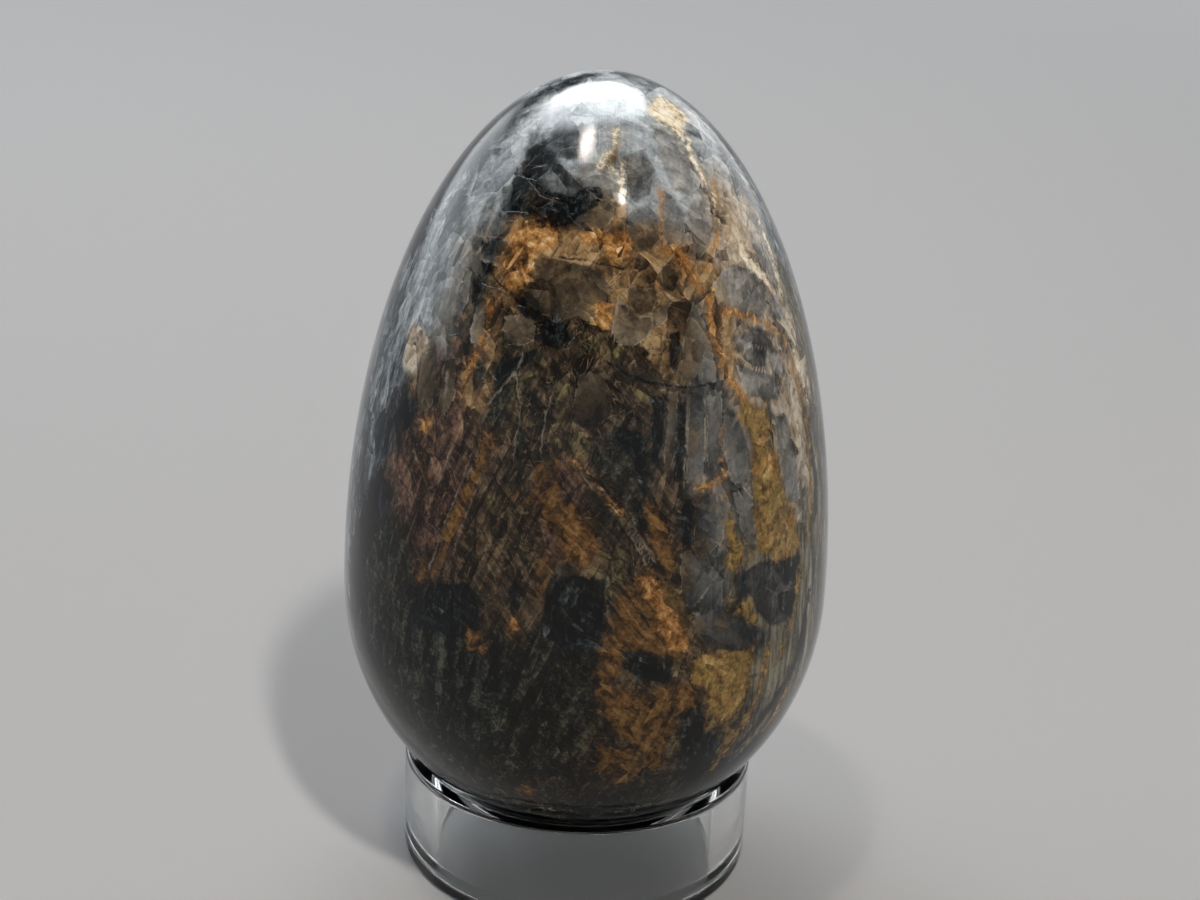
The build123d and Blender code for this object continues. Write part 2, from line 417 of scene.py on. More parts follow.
pale_seams = [
    (0.14, [(-42, 65.4), (-40, 61.7), (-40.6, 60.6)]),
    (0.12, [(-48, 62.3), (-44, 60.8), (-41, 60.4), (-33, 60.3)]),
    (0.16, [(-44, 60), (-43.5, 57.5), (-42.5, 55.5), (-41, 53.8), (-39.5, 52), (-39, 50)]),
    (0.03, [(-47.5, 67.4), (-36, 67.3), (-26.5, 67.6), (-18.5, 67.8), (-9, 66.6), (-2, 65.9),
            (2.5, 65.6), (6, 65.2)]),
    (0.02, [(-46.5, 67.3), (-37, 66.8), (-30.5, 66.3), (-23.5, 65.5), (-15.5, 65.2), (-10.5, 65.2)]),
    (0.07, [(-42, 61.9), (-31, 62.2)]),
    (0.1, [(-25.5, 50.4), (-22, 52), (-19.5, 53.4)]),
    (0.12, [(-45, 44.2), (-42, 43), (-39, 41.8)]),
    (0.08, [(-29, 44), (-26.5, 46.9), (-25, 47.2), (-22, 45.9)]),
    (0.09, [(4.5, 56.6), (6, 58.8), (8.5, 58.3)]),
    (0.08, [(11, 57.5), (16, 57.6), (15, 56.4)]),
    (0.08, [(24, 55.3), (26, 57.2), (29, 58.6)]),
    (0.08, [(24.3, 51.9), (23.3, 48), (22.3, 44.6)]),
    (0.08, [(29.2, 51.9), (28.2, 47.8), (27.4, 44.4)]),
    (0.1, [(25, 34.4), (28, 35.6), (31, 37)]),
    (0.07, [(-1, 45.2), (4, 43.4), (9, 41), (13, 38.6)]),
    (0.08, [(2, 44.6), (8, 42.6), (13, 40), (17, 37.4)]),
    (0.07, [(3.5, 53.2), (7, 52.2), (10, 51.4), (12, 51)]),
    (0.07, [(-33, 47), (-36, 43.5), (-40, 39)]),
    (0.07, [(-27, 47.4), (-29, 45.4), (-31.5, 41.9), (-34, 39.1), (-36.5, 35.7)]),
    (0.06, [(-24, 46), (-27, 42.4), (-30.5, 37.6)]),
    (0.06, [(-20, 53), (-17.5, 50), (-17.8, 46.5)]),
    (0.06, [(-9, 53), (-11, 50), (-11.5, 47)]),
    (0.08, [(45, 34), (48, 33.2), (52, 33)]),
    (0.16, [(75, 50), (77, 45.2), (78, 41.2), (78, 37.6), (76.5, 32.1)]),
    (0.14, [(73, 36), (72, 30), (69, 24), (64, 18)]),
    (0.12, [(68, 34), (66, 30), (64, 27), (62, 24)]),
]
# A zone is a soft oval: its middle, then half its width in degrees and half its height
brown_zones = [
    (-14, 44, 40, 15), (-38, 43, 18, 13), (4, 55, 28, 8), (-14, 58, 24, 7), (8, 26, 30, 13),
    (12, 40, 18, 10), (0, 17, 30, 6), (150, 50, 36, 14), (215, 36, 44, 15), (112, 30, 22, 12),
]
red_zones = [
    (-40, 42, 16, 9), (-36, 50, 10, 6), (-6, 42, 8, 5), (200, 42, 18, 9), (146, 46, 12, 7),
]
# Dim zones: dark patches of stone, and painted shade low on the egg towards its bottom
dark_and_shade_zones = [
    (8, 45.5, 9, 6), (-25, 51, 6, 4), (-30, 22, 44, 13), (-6, 28, 16, 6), (20, 12, 60, 6),
    (-50, 32, 16, 8), (180, 13, 90, 7), (236, 22, 28, 10),
]
grey_zones = [
    (36, 50, 26, 16), (26, 67, 50, 6), (-50, 57, 18, 12), (54, 44, 18, 12), (104, 52, 20, 14),
    (246, 58, 22, 10),
]
tan_zones = [
    (66, 30, 17, 20), (70, 50, 13, 16), (48, 24, 9, 8), (46, 34, 9, 5), (164, 24, 20, 10),
    (254, 34, 14, 16),
]
# Pale zones: pale blue-grey stone over the top, partly a painted reflection haze of the lamps above
pale_sheen_zones = [
    (20, 71, 90, 6), (24, 66, 24, 3), (-47, 66, 14, 5), (200, 71.5, 90, 5), (190, 64, 26, 5),
]
# Ice zones: pale streaky stone along the sides, partly a painted reflection haze of the side panels
ice_sheen_zones = [
    (-62, 57, 15, 12), (-73, 46, 16, 14), (-80, 26, 14, 10), (76, 60, 15, 12), (178, 58, 16, 10),
]
buff_zones = [
    (46, 62, 22, 9), (61, 50, 12, 13), (42, 53, 9, 6), (47, 65, 14, 5), (53, 40, 9, 9),
    (128, 60, 18, 7), (210, 58, 14, 7), (-54, 52.3, 6, 2.2),
]
amber_zones = [
    (8, 61, 34, 4), (1, 64.4, 10, 2.5), (-26, 61, 9, 5), (22, 57, 12, 5), (-30, 53, 6, 6),
    (36, 57, 6, 6), (160, 60, 24, 5), (228, 50, 12, 7),
]
gold_zones = [
    (36, 26, 10, 7), (18, 33, 7, 5), (46, 38, 8, 8), (186, 30, 13, 7), (106, 38, 9, 9),
]

millimetres = 1000
middle_height = widest_level * millimetres
points = np.empty(len(egg.data.vertices) * 3)
egg.data.vertices.foreach_get("co", points)
points = points.reshape(-1, 3) * millimetres


def on_egg(angle, height):
    """The point of the egg, in millimetres, at an angle round from its front and a height."""
    level = height - middle_height
    reach = (point_height if level > 0 else blunt_height) * millimetres
    radius = egg_radius * millimetres * math.sqrt(max(0.0, 1 - (level / reach) ** 2))
    turn = math.radians(angle)
    return np.array([radius * math.sin(turn), -radius * math.cos(turn), height])


def laid_flat(corners):
    """The egg's points near some corners, and the corners, on a flat sheet that touches the egg there."""
    upper_tilt = 0.4
    lower_tilt = 0.9
    margin = 4
    corners = np.array([on_egg(*corner) for corner in corners])
    middle = corners.mean(0)
    outward = middle - (0, 0, middle_height)
    outward[2] *= upper_tilt if outward[2] > 0 else lower_tilt
    outward /= np.linalg.norm(outward)
    across = np.cross((0, 0, 1), outward)
    across /= np.linalg.norm(across)
    sheet = np.array([across, np.cross(outward, across)]).T
    size = np.linalg.norm(corners - middle, axis=1).max()
    near = np.flatnonzero(np.linalg.norm(points - middle, axis=1) < size + margin)
    return near, (points[near] - middle) @ sheet, (corners - middle) @ sheet


chance = np.random.default_rng(5)
back_angles = (90, 270)
back_heights = (12, 66)
lowest = 8
highest = 70


def scattered(count, size, ends=None, jag=0.6):
    """Shapes laid by chance round the back of the egg: outlines, or lines of a number of points."""
    shapes = []
    for _ in range(count):
        angle = chance.uniform(*back_angles)
        height = chance.uniform(*back_heights)
        around = np.hypot(*on_egg(angle, height)[:2])
        corners = ends or chance.integers(5, 9)
        turns = np.sort(chance.uniform(0, 2 * math.pi, corners))
        reach = size * chance.uniform(jag, 1.2, corners)
        along = reach * np.sin(turns) * chance.uniform(1.0, 1.8)
        across = reach * np.cos(turns) + along * chance.uniform(-0.5, 0.5)
        if ends:
            along = np.linspace(-size, size, ends)
            across = along * chance.uniform(-0.8, 0.8) + chance.uniform(-0.2, 0.2, ends) * size
        angles = angle + np.degrees(across / around)
        heights = np.clip(height + along, lowest, highest)
        shapes.append(list(zip(angles, heights)))
    return shapes


def edge_offsets(spots, start, end):
    """Each spot's distance from a straight edge, and its offset to one side of the edge's line."""
    run = end - start
    share = np.clip(((spots - start) @ run) / (run @ run), 0, 1)
    distance = np.linalg.norm(spots - start - share[:, None] * run, axis=1)
    beside = ((spots - start) @ np.array([-run[1], run[0]])) / np.linalg.norm(run)
    return distance, beside


far_outside = -4.0


def depth_of(outlines):
    """How deep each point of the egg lies inside any of the outlines, in millimetres, negative outside."""
    depth = np.full(len(points), far_outside)
    for outline in outlines:
        near, spots, corners = laid_flat(outline)
        closest = np.full(len(near), np.inf)
        inside = np.zeros(len(near), bool)
        for start, end in zip(corners, np.roll(corners, -1, 0)):
            closest = np.minimum(closest, edge_offsets(spots, start, end)[0])
            rises = (start[1] > spots[:, 1]) != (end[1] > spots[:, 1])
            climb = end[1] - start[1]
            crossing = start[0] + (spots[:, 1] - start[1]) * (end[0] - start[0]) / (climb if climb else 1)
            inside ^= rises & (spots[:, 0] < crossing)
        depth[near] = np.maximum(depth[near], np.where(inside, closest, -closest))
    return depth


def vein_depth(lines):
    """How deep each point lies inside any of the lines, in millimetres, negative outside."""
    depth = np.full(len(points), far_outside)
    for half_width, line in lines:
        near, spots, corners = laid_flat(line)
        for start, end in zip(corners[:-1], corners[1:]):
            depth[near] = np.maximum(depth[near], half_width - edge_offsets(spots, start, end)[0])
    return depth


def tone_of(shards):
    """At each point, the nearest shard's tone, sloped across it, and how far its edge faces the light."""
    tone_between = 0.3
    tone_slope = 0.2
    turn_each = 2.4
    lit_run = (0.5, 0.85)
    tone = np.full(len(points), tone_between)
    facing = np.zeros(len(points))
    best = np.full(len(points), -3.0)
    for number, (level, outline) in enumerate(shards):
        depth = depth_of([outline])
        near, spots, corners = laid_flat(outline)
        lean = np.array([math.cos(number * turn_each), math.sin(number * turn_each)])
        slope = spots @ lean / np.abs(corners @ lean).max()
        closest = np.full(len(near), np.inf)
        faced = np.zeros(len(near))
        for start, end in zip(corners, np.roll(corners, -1, 0)):
            distance = edge_offsets(spots, start, end)[0]
            run = (end - start) / np.linalg.norm(end - start)
            faced = np.where(distance < closest, abs(run @ lit_run) * 2 - 1, faced)
            closest = np.minimum(closest, distance)
        chosen = depth[near] > best[near]
        tone[near[chosen]] = level + tone_slope * slope[chosen]
        facing[near[chosen]] = faced[chosen]
        best[near[chosen]] = depth[near[chosen]]
    return tone, facing


def offset_of(lines):
    """From the nearest line: the offset to one side of it, the distance from it, and half its width."""
    no_line = (3.0, 3.0, 0.1)
    offset = np.tile(no_line, (len(points), 1))
    for half_width, line in lines:
        near, spots, corners = laid_flat(line)
        for start, end in zip(corners[:-1], corners[1:]):
            distance, beside = edge_offsets(spots, start, end)
            closer = distance < offset[near, 1]
            found = np.stack([beside, distance, np.full(len(near), half_width)], 1)
            offset[near[closer]] = found[closer]
    return offset


def zone_of(ovals):
    """How far into any of the soft ovals each point lies: 1 in a middle, 0 at an edge and less outside."""
    turns = np.degrees(np.arctan2(points[:, 0], -points[:, 1]))
    zone = np.full(len(points), -1.0)
    for angle, height, half_width, half_height in ovals:
        around = (turns - angle + 180) % 360 - 180
        far = np.hypot(around / half_width, (points[:, 2] - height) / half_height)
        zone = np.maximum(zone, 1 - far)
    return zone


def keep(name, x, y, z):
    """Keep three values for each point of the egg as one named attribute for the material."""
    held = egg.data.attributes.new(name, "FLOAT_VECTOR", "POINT")
    held.data.foreach_set("vector", np.stack([x, y, z], 1).astype(np.float32).ravel())


black_shards += scattered(16, 2.4)
clear_shards += [(chance.uniform(0.05, 0.42), outline) for outline in scattered(60, 2.4)]
rust_patches += scattered(8, 2.4, jag=0.15)
umber_patches += scattered(12, 3.4, jag=0.25)
ochre_patches += scattered(6, 3.0, jag=0.2)
cream_patches += scattered(3, 1.4)
iron_veins += [(0.4, line) for line in scattered(8, 4.5, 5)]
black_cracks += [(0.08, line) for line in scattered(9, 4.0, 5)]
pale_seams += [(0.08, line) for line in scattered(18, 4.0, 4)]

keep(
    "stains",
    np.maximum(depth_of(rust_patches), vein_depth(iron_veins)),
    np.maximum(depth_of(ochre_patches), vein_depth(tan_stripes)),
    np.maximum(depth_of(cream_patches), vein_depth(cream_stripes)),
)

# Small pits in the crumbly cream patches, where the polish is broken
pit_count = 40
pit_depths = (0.08, 0.2)
pit_widths = (0.35, 0.6)
soft_spots = np.flatnonzero(depth_of(cream_patches) > 0.1)
outward = points - np.array((0, 0, middle_height))
upper_slope = (egg_radius / point_height) ** 2
lower_slope = (egg_radius / blunt_height) ** 2
outward[:, 2] *= np.where(outward[:, 2] > 0, upper_slope, lower_slope)
outward /= np.linalg.norm(outward, axis=1)[:, None]
sunk = np.zeros(len(points))
for pit in chance.choice(soft_spots, pit_count):
    away = np.linalg.norm(points - points[pit], axis=1)
    pit_depth = chance.uniform(*pit_depths)
    pit_width = chance.uniform(*pit_widths)
    sunk = np.maximum(sunk, pit_depth * np.exp(-(away / pit_width) ** 2))
pitted = (points - outward * sunk[:, None]) / millimetres
egg.data.vertices.foreach_set("co", pitted.astype(np.float32).ravel())
egg.data.update()

black_depths = np.maximum(depth_of(black_shards), vein_depth(dark_stripes))
clear_tones, clear_light_facings = tone_of(clear_shards)
keep("shards", black_depths, depth_of([outline for _, outline in clear_shards]), clear_tones)
keep("zones", zone_of(brown_zones), zone_of(grey_zones), zone_of(tan_zones))
keep("tints", zone_of(amber_zones), zone_of(red_zones), zone_of(dark_and_shade_zones))
keep("veils", zone_of(pale_sheen_zones), zone_of(buff_zones), zone_of(gold_zones))
keep("edges", zone_of(ice_sheen_zones), depth_of(umber_patches), clear_light_facings)
keep("cracks", *offset_of(black_cracks).T)
keep("seams", *offset_of(pale_seams).T)

stone_tree = polished_stone.node_tree


def stone_node(kind, *filled, **named):
    return add_node(stone_tree, kind, *filled, **named)


def sums(operation, *filled):
    return math_node(stone_tree, operation, *filled)


def times(*filled):
    return sums("MULTIPLY", *filled)


def plus(*filled):
    return sums("ADD", *filled)


def larger(*filled):
    return sums("MAXIMUM", *filled)


def vectors(operation, *filled):
    return stone_node("ShaderNodeVectorMath", *filled, operation=operation).outputs[0]


def weighed(*terms):
    """A sum of levels, each given with its weight."""
    total = times(*terms[0])
    for level, weight in terms[1:]:
        total = sums("MULTIPLY_ADD", level, weight, total)
    return total


def lifted(lift, *terms):
    """A sum of levels, each given with its weight, raised by a lift."""
    return plus(weighed(*terms), lift)


def kept(name):
    """The three values of a named attribute."""
    read = stone_node("ShaderNodeAttribute")
    read.attribute_name = name
    return stone_node("ShaderNodeSeparateXYZ", read.outputs["Vector"]).outputs


def noise(place, scale, detail, roughness=0.55):
    """Smooth noise of either sign, about a half at most."""
    made = stone_node("ShaderNodeTexNoise", Vector=place, Scale=scale, Detail=detail, Roughness=roughness)
    return sums("SUBTRACT", made.outputs[0], 0.5)


def ramp(level, *stops):
    """A row of colours over a level, each given as its place and its red, green and blue."""
    row = stone_node("ShaderNodeValToRGB", level)
    while len(row.color_ramp.elements) < len(stops):
        row.color_ramp.elements.new(1.0)
    for element, (spot, *colour) in zip(row.color_ramp.elements, stops):
        element.position = spot
        element.color = (*colour, 1)
    return row.outputs[0]


def between(level, low, high):
    """0 below low, 1 above high and a smooth step between."""
    step = stone_node("ShaderNodeMapRange", level, low, high)
    step.interpolation_type = "SMOOTHSTEP"
    return step.outputs[0]


def over(mask, under, colour, most=1.0):
    """One colour laid over another where the mask is 1, hiding it up to the share in most."""
    mixed = stone_node("ShaderNodeMix")
    mixed.data_type = "RGBA"
    share = mask if most == 1.0 else times(mask, most)
    for socket, value in zip((mixed.inputs[0], mixed.inputs[6], mixed.inputs[7]), (share, under, colour)):
        stone_tree.links.new(value, socket)
    return mixed.outputs[2]


def line_mask(offsets, wander):
    """1 on the lines kept as an offset, a distance and half a width."""
    aside = sums("ABSOLUTE", plus(offsets[0], wander))
    on_line = between(sums("SUBTRACT", offsets[2], aside), -0.06, 0.06)
    by_line = between(sums("SUBTRACT", offsets[1], offsets[2]), 0.6, 0.1)
    return times(on_line, by_line)


def facets(place, slope=0.7):
    """Broken crystals: a level sloped across each one, 1 on the gaps between them, and a level of each."""
    cut = stone_node("ShaderNodeTexVoronoi", Vector=place, Scale=1.0)
    tilt = vectors("SUBTRACT", cut.outputs["Color"], (0.5, 0.5, 0.5))
    away = vectors("SUBTRACT", place, cut.outputs["Position"])
    lean = stone_node("ShaderNodeVectorMath", tilt, away, operation="DOT_PRODUCT").outputs["Value"]
    tones = stone_node("ShaderNodeSeparateXYZ", tilt).outputs
    gap = stone_node("ShaderNodeTexVoronoi", Vector=place, Scale=1.0)
    gap.feature = "DISTANCE_TO_EDGE"
    gap_mask = between(gap.outputs["Distance"], 0.05, 0.01)
    return weighed((tones[0], 0.7), (lean, slope * 2)), gap_mask, tones[1]


place = stone_node("ShaderNodeTexCoord").outputs["Object"]
spot = stone_node("ShaderNodeVectorMath", place, operation="SCALE", Scale=float(millimetres)).outputs[0]
spot_x, spot_y, spot_z = stone_node("ShaderNodeSeparateXYZ", spot).outputs

grain = noise(spot, 3.0, 5.0, 0.75)
cloud = noise(spot, 0.24, 3.0)
lump = noise(spot, 0.9, 5.0, 0.6)
bent = vectors("ADD", spot, times(noise(spot, 0.3, 1.0), 0.8))


def slanted(lean, turn, width, length):
    """Places among splinters that lean to one side in front, each about one unit wide and long."""
    angles = (0.0, math.radians(lean), math.radians(turn))
    sized = (1 / width, 1 / width, 1 / length)
    turned = stone_node("ShaderNodeVectorRotate", bent)
    turned.rotation_type = "EULER_XYZ"
    turned.inputs["Rotation"].default_value = angles
    return vectors("MULTIPLY", turned.outputs[0], sized)


crystal, crystal_gap, cleavage = facets(slanted(14, 25, 2.6, 4.0), 0.5)
slab = facets(slanted(4, 10, 1.5, 6.0), 0.4)[0]
left_splinter, left_gap, _ = facets(slanted(-22, 0, 0.5, 11.0), 0.3)
right_splinter, right_gap, _ = facets(slanted(40, 20, 0.5, 9.0), 0.3)


def either(mask, low, high):
    """One level where the mask is 0, the other where it is 1."""
    return stone_node("ShaderNodeMix", mask, None, low, high).outputs[0]


# Each crystal is split into chips along one of two directions
leans_left = between(cleavage, -0.01, 0.01)
right_chip, right_chip_gap, _ = facets(slanted(52, 30, 0.6, 2.6), 0.5)
left_chip, left_chip_gap, _ = facets(slanted(-30, 70, 0.7, 2.4), 0.5)
chip = either(leans_left, right_chip, left_chip)
chip_gap = either(leans_left, right_chip_gap, left_chip_gap)
left_fibre = noise(slanted(-24, 0, 0.6, 15.0), 1.0, 4.0, 0.62)
right_fibre = noise(slanted(36, 15, 0.55, 12.0), 1.0, 4.0, 0.62)
crossing = larger(left_fibre, right_fibre)

# Upright blades all round the egg, wide ones and fine ones
blades = stone_node("ShaderNodeMapping", spot, Rotation=(0.08, 0.14, 0.0), Scale=(0.9, 0.9, 0.08)).outputs[0]
blade = noise(blades, 1.0, 5.0, 0.62)
fine_blade = noise(blades, 3.1, 4.0, 0.65)

# Fibres that fan down and out from the upper front, more steeply on its right
fan_x = -2.0
fan_z = stone_node("ShaderNodeMapRange", spot_x, -4.0, 6.0, 68.0, 55.0).outputs[0]
fan_drop = sums("SUBTRACT", fan_z, spot_z)
fan_turn = sums("ARCTAN2", sums("SUBTRACT", spot_x, fan_x), larger(fan_drop, 3.0))
fan = stone_node(
    "ShaderNodeCombineXYZ",
    weighed((fan_turn, 22.0), (lump, 1.4)),
    weighed((fan_drop, 0.22), (cloud, 1.0)),
    times(spot_y, 0.1),
).outputs[0]
fibre = noise(fan, 1.7, 5.0, 0.65)
thread = between(sums("ABSOLUTE", noise(fan, 1.1, 2.0)), 0.02, 0.003)
thread = times(thread, between(weighed((cloud, 1.0), (lump, 1.0)), 0.0, 0.2))

# Ground colours, from dark to pale
blue = ramp(
    weighed((blade, 1.0), (fine_blade, 0.5), (cloud, 0.4), (slab, 0.1)),
    (0.0, 0.004, 0.005, 0.007),
    (0.06, 0.012, 0.017, 0.026),
    (0.16, 0.035, 0.048, 0.066),
    (0.28, 0.12, 0.155, 0.19),
    (0.42, 0.45, 0.5, 0.55),
)
high_chip = times(chip, between(spot_z, 44.0, 55.0))
broken = weighed((crossing, 0.7), (left_splinter, 0.35), (right_splinter, 0.3), (crystal, 0.35), (chip, 0.15))
mottled = weighed((high_chip, 0.22), (fibre, 0.3), (grain, 0.5), (lump, 0.2), (cloud, 0.5))
brown_level = plus(plus(broken, mottled), 0.47)
brown = ramp(
    brown_level,
    (0.2, 0.008, 0.006, 0.004),
    (0.42, 0.03, 0.021, 0.013),
    (0.56, 0.075, 0.052, 0.032),
    (0.7, 0.15, 0.1, 0.06),
    (0.9, 0.32, 0.23, 0.14),
)
olive = ramp(
    brown_level,
    (0.22, 0.006, 0.006, 0.004),
    (0.46, 0.022, 0.02, 0.011),
    (0.62, 0.075, 0.062, 0.03),
    (0.85, 0.22, 0.18, 0.085),
)
red_brown = ramp(
    brown_level,
    (0.2, 0.01, 0.006, 0.005),
    (0.42, 0.036, 0.02, 0.015),
    (0.56, 0.088, 0.05, 0.036),
    (0.7, 0.16, 0.09, 0.06),
    (0.9, 0.32, 0.2, 0.13),
)
grey = ramp(
    lifted(0.5, (slab, 0.5), (chip, 0.2), (blade, 0.4), (fine_blade, 0.3), (grain, 0.3)),
    (0.15, 0.014, 0.015, 0.015),
    (0.4, 0.07, 0.07, 0.062),
    (0.6, 0.16, 0.155, 0.14),
    (0.85, 0.36, 0.35, 0.32),
)
tan = ramp(
    lifted(0.5, (blade, 0.8), (fine_blade, 0.7), (slab, 0.15), (grain, 0.3)),
    (0.3, 0.012, 0.013, 0.012),
    (0.42, 0.048, 0.047, 0.036),
    (0.53, 0.135, 0.125, 0.09),
    (0.67, 0.265, 0.245, 0.18),
    (0.84, 0.48, 0.45, 0.36),
)
# Pale blue streaks: partly the stone's own colour, partly painted reflection haze
ice_and_sheen = ramp(
    lifted(0.5, (blade, 0.55), (fine_blade, 0.5), (cloud, 0.4), (slab, 0.4), (chip, 0.25), (grain, 0.3)),
    (0.3, 0.014, 0.018, 0.024),
    (0.46, 0.065, 0.08, 0.095),
    (0.58, 0.16, 0.187, 0.207),
    (0.72, 0.32, 0.36, 0.385),
    (0.88, 0.52, 0.56, 0.58),
)
buff = ramp(
    lifted(0.54, (crystal, 0.5), (chip, 0.5), (lump, 0.3), (grain, 0.5), (fine_blade, 0.4)),
    (0.2, 0.06, 0.05, 0.04),
    (0.42, 0.22, 0.178, 0.135),
    (0.58, 0.4, 0.33, 0.25),
    (0.8, 0.68, 0.61, 0.5),
)
# Pale blue-grey for the top: partly the stone's own colour, partly painted reflection haze
pale_and_sheen = ramp(
    lifted(0.5, (crystal, 0.22), (chip, 0.2), (cloud, 0.5), (lump, 0.4), (fibre, 0.4), (grain, 0.5)),
    (0.15, 0.06, 0.075, 0.088),
    (0.4, 0.25, 0.29, 0.325),
    (0.6, 0.46, 0.515, 0.555),
    (0.85, 0.74, 0.79, 0.82),
)
amber = ramp(
    lifted(0.5, (lump, 0.3), (grain, 0.5), (cloud, 0.4), (chip, 0.38), (crystal, 0.4), (crossing, 0.3)),
    (0.22, 0.026, 0.017, 0.01),
    (0.42, 0.11, 0.068, 0.034),
    (0.56, 0.24, 0.148, 0.066),
    (0.7, 0.42, 0.28, 0.135),
    (0.86, 0.58, 0.44, 0.26),
)
gold = ramp(
    lifted(0.5, (lump, 0.6), (grain, 0.6), (crossing, 0.5), (right_splinter, 0.25), (cloud, 0.4)),
    (0.22, 0.014, 0.011, 0.007),
    (0.42, 0.075, 0.047, 0.018),
    (0.58, 0.2, 0.128, 0.045),
    (0.75, 0.36, 0.25, 0.1),
    (0.9, 0.55, 0.43, 0.23),
)
# Near black, for dark stone and for painted shade low on the egg
dark_and_shade = ramp(
    lifted(0.47, (lump, 0.4), (grain, 0.8), (blade, 0.4), (crossing, 0.4), (left_splinter, 0.25)),
    (0.36, 0.001, 0.0015, 0.001),
    (0.47, 0.005, 0.006, 0.005),
    (0.57, 0.03, 0.032, 0.025),
    (0.72, 0.11, 0.105, 0.075),
)
# Near black, for the dark gaps and borders between crystals and for painted shade on clear shards
dark_gap_and_shade = ramp(plus(grain, 0.5), (0.3, 0.003, 0.003, 0.003), (0.7, 0.018, 0.016, 0.014))

brown_zone, grey_zone, tan_zone = kept("zones")
amber_zone, red_zone, dark_and_shade_zone = kept("tints")
pale_sheen_zone, buff_zone, gold_zone = kept("veils")
ice_sheen_zone, umber_depth, clear_light_facing = kept("edges")
ragged = weighed((cloud, 0.7), (lump, 0.5), (crystal, 0.3), (crossing, 0.3))


def zoned(zone, low, high):
    """1 well inside a zone and 0 outside it, with a ragged edge between."""
    return between(plus(zone, ragged), low, high)


in_brown = zoned(brown_zone, 0.0, 0.3)
in_amber = zoned(amber_zone, 0.0, 0.4)
brown = over(between(weighed((cloud, 1.0), (lump, 0.4), (chip, 0.4)), 0.0, 0.12), brown, olive)
brown = over(zoned(red_zone, -0.1, 0.4), brown, red_brown)
colour = over(zoned(grey_zone, 0.0, 0.4), blue, grey)
# Pale streaky stone with painted reflection haze along the sides
colour = over(zoned(ice_sheen_zone, 0.0, 0.4), colour, ice_and_sheen)
colour = over(in_brown, colour, brown)
# Dark stone, and painted shade towards the bottom
in_dark_and_shade = zoned(dark_and_shade_zone, -0.1, 0.5)
colour = over(in_dark_and_shade, colour, dark_and_shade, 0.9)
colour = over(zoned(gold_zone, 0.0, 0.4), colour, gold, 0.9)
colour = over(zoned(tan_zone, 0.0, 0.35), colour, tan)
in_buff = zoned(buff_zone, 0.0, 0.45)
colour = over(in_buff, colour, buff, 0.9)
# Pale stone with painted reflection haze over the top of the egg
in_pale_sheen = zoned(pale_sheen_zone, -0.05, 0.5)
colour = over(in_pale_sheen, colour, pale_and_sheen, 0.9)
colour = over(in_amber, colour, amber, 0.85)

# Thin lines between the splinters, pale ones and dark ones
pale_line = ramp(plus(grain, 0.5), (0.3, 0.08, 0.055, 0.036), (0.7, 0.34, 0.235, 0.145))
pale_gaps = larger(thread, times(left_gap, between(lump, 0.02, 0.12)))
pale_gaps = larger(pale_gaps, times(right_gap, between(lump, -0.03, -0.13)))
pale_gaps = times(pale_gaps, sums("SUBTRACT", in_brown, in_dark_and_shade))
colour = over(pale_gaps, colour, pale_line, 0.7)
dark_gaps = times(larger(chip_gap, crystal_gap), between(cloud, -0.1, 0.1))
colour = over(times(dark_gaps, in_brown), colour, dark_gap_and_shade, 0.7)
gold_line = ramp(plus(grain, 0.5), (0.3, 0.2, 0.1, 0.035), (0.7, 0.66, 0.48, 0.26))
gold_gaps = times(larger(crystal_gap, chip_gap), between(plus(lump, cloud), 0.0, 0.15))
gold_gaps = times(gold_gaps, larger(in_amber, in_buff))
colour = over(gold_gaps, colour, gold_line, 0.7)

# Shards, clear ones first
black_depth, clear_depth, clear_tone = kept("shards")
clear_noise = weighed(
    (cloud, 0.4), (lump, 0.25), (grain, 0.45), (fine_blade, 0.2), (chip, 0.2), (crystal, 0.1)
)
# The shards show a little less under the pale, partly painted haze on the top
bare = sums("MULTIPLY_ADD", in_pale_sheen, -0.25, 1.0)
clear_level = plus(clear_tone, clear_noise)
clear = ramp(
    clear_level,
    (0.0, 0.01, 0.013, 0.016),
    (0.25, 0.055, 0.06, 0.062),
    (0.5, 0.155, 0.152, 0.145),
    (0.75, 0.32, 0.315, 0.305),
    (1.0, 0.56, 0.555, 0.54),
)
smoky = ramp(
    clear_level,
    (0.0, 0.01, 0.008, 0.005),
    (0.25, 0.055, 0.042, 0.027),
    (0.5, 0.14, 0.11, 0.074),
    (0.75, 0.28, 0.235, 0.17),
    (1.0, 0.5, 0.44, 0.35),
)
clear = over(larger(in_brown, in_amber), clear, smoky)
clear_in = plus(clear_depth, weighed((lump, 0.2), (chip, 0.2), (crossing, 0.2), (grain, 0.12)))
shade = times(between(clear_in, -0.3, -0.02), between(lump, 0.1, -0.06))
colour = over(times(shade, bare), colour, dark_gap_and_shade, 0.55)
colour = over(times(between(clear_in, -0.05, 0.1), bare), colour, clear, 0.82)
# Painted shade inside each clear shard, along its edges that face away from the light
shaded = times(between(clear_in, 1.1, 0.0), between(clear_in, -0.05, 0.1))
painted_shade_side = times(shaded, between(plus(clear_light_facing, lump), 0.1, -0.5))
colour = over(times(painted_shade_side, bare), colour, dark_gap_and_shade, 0.6)
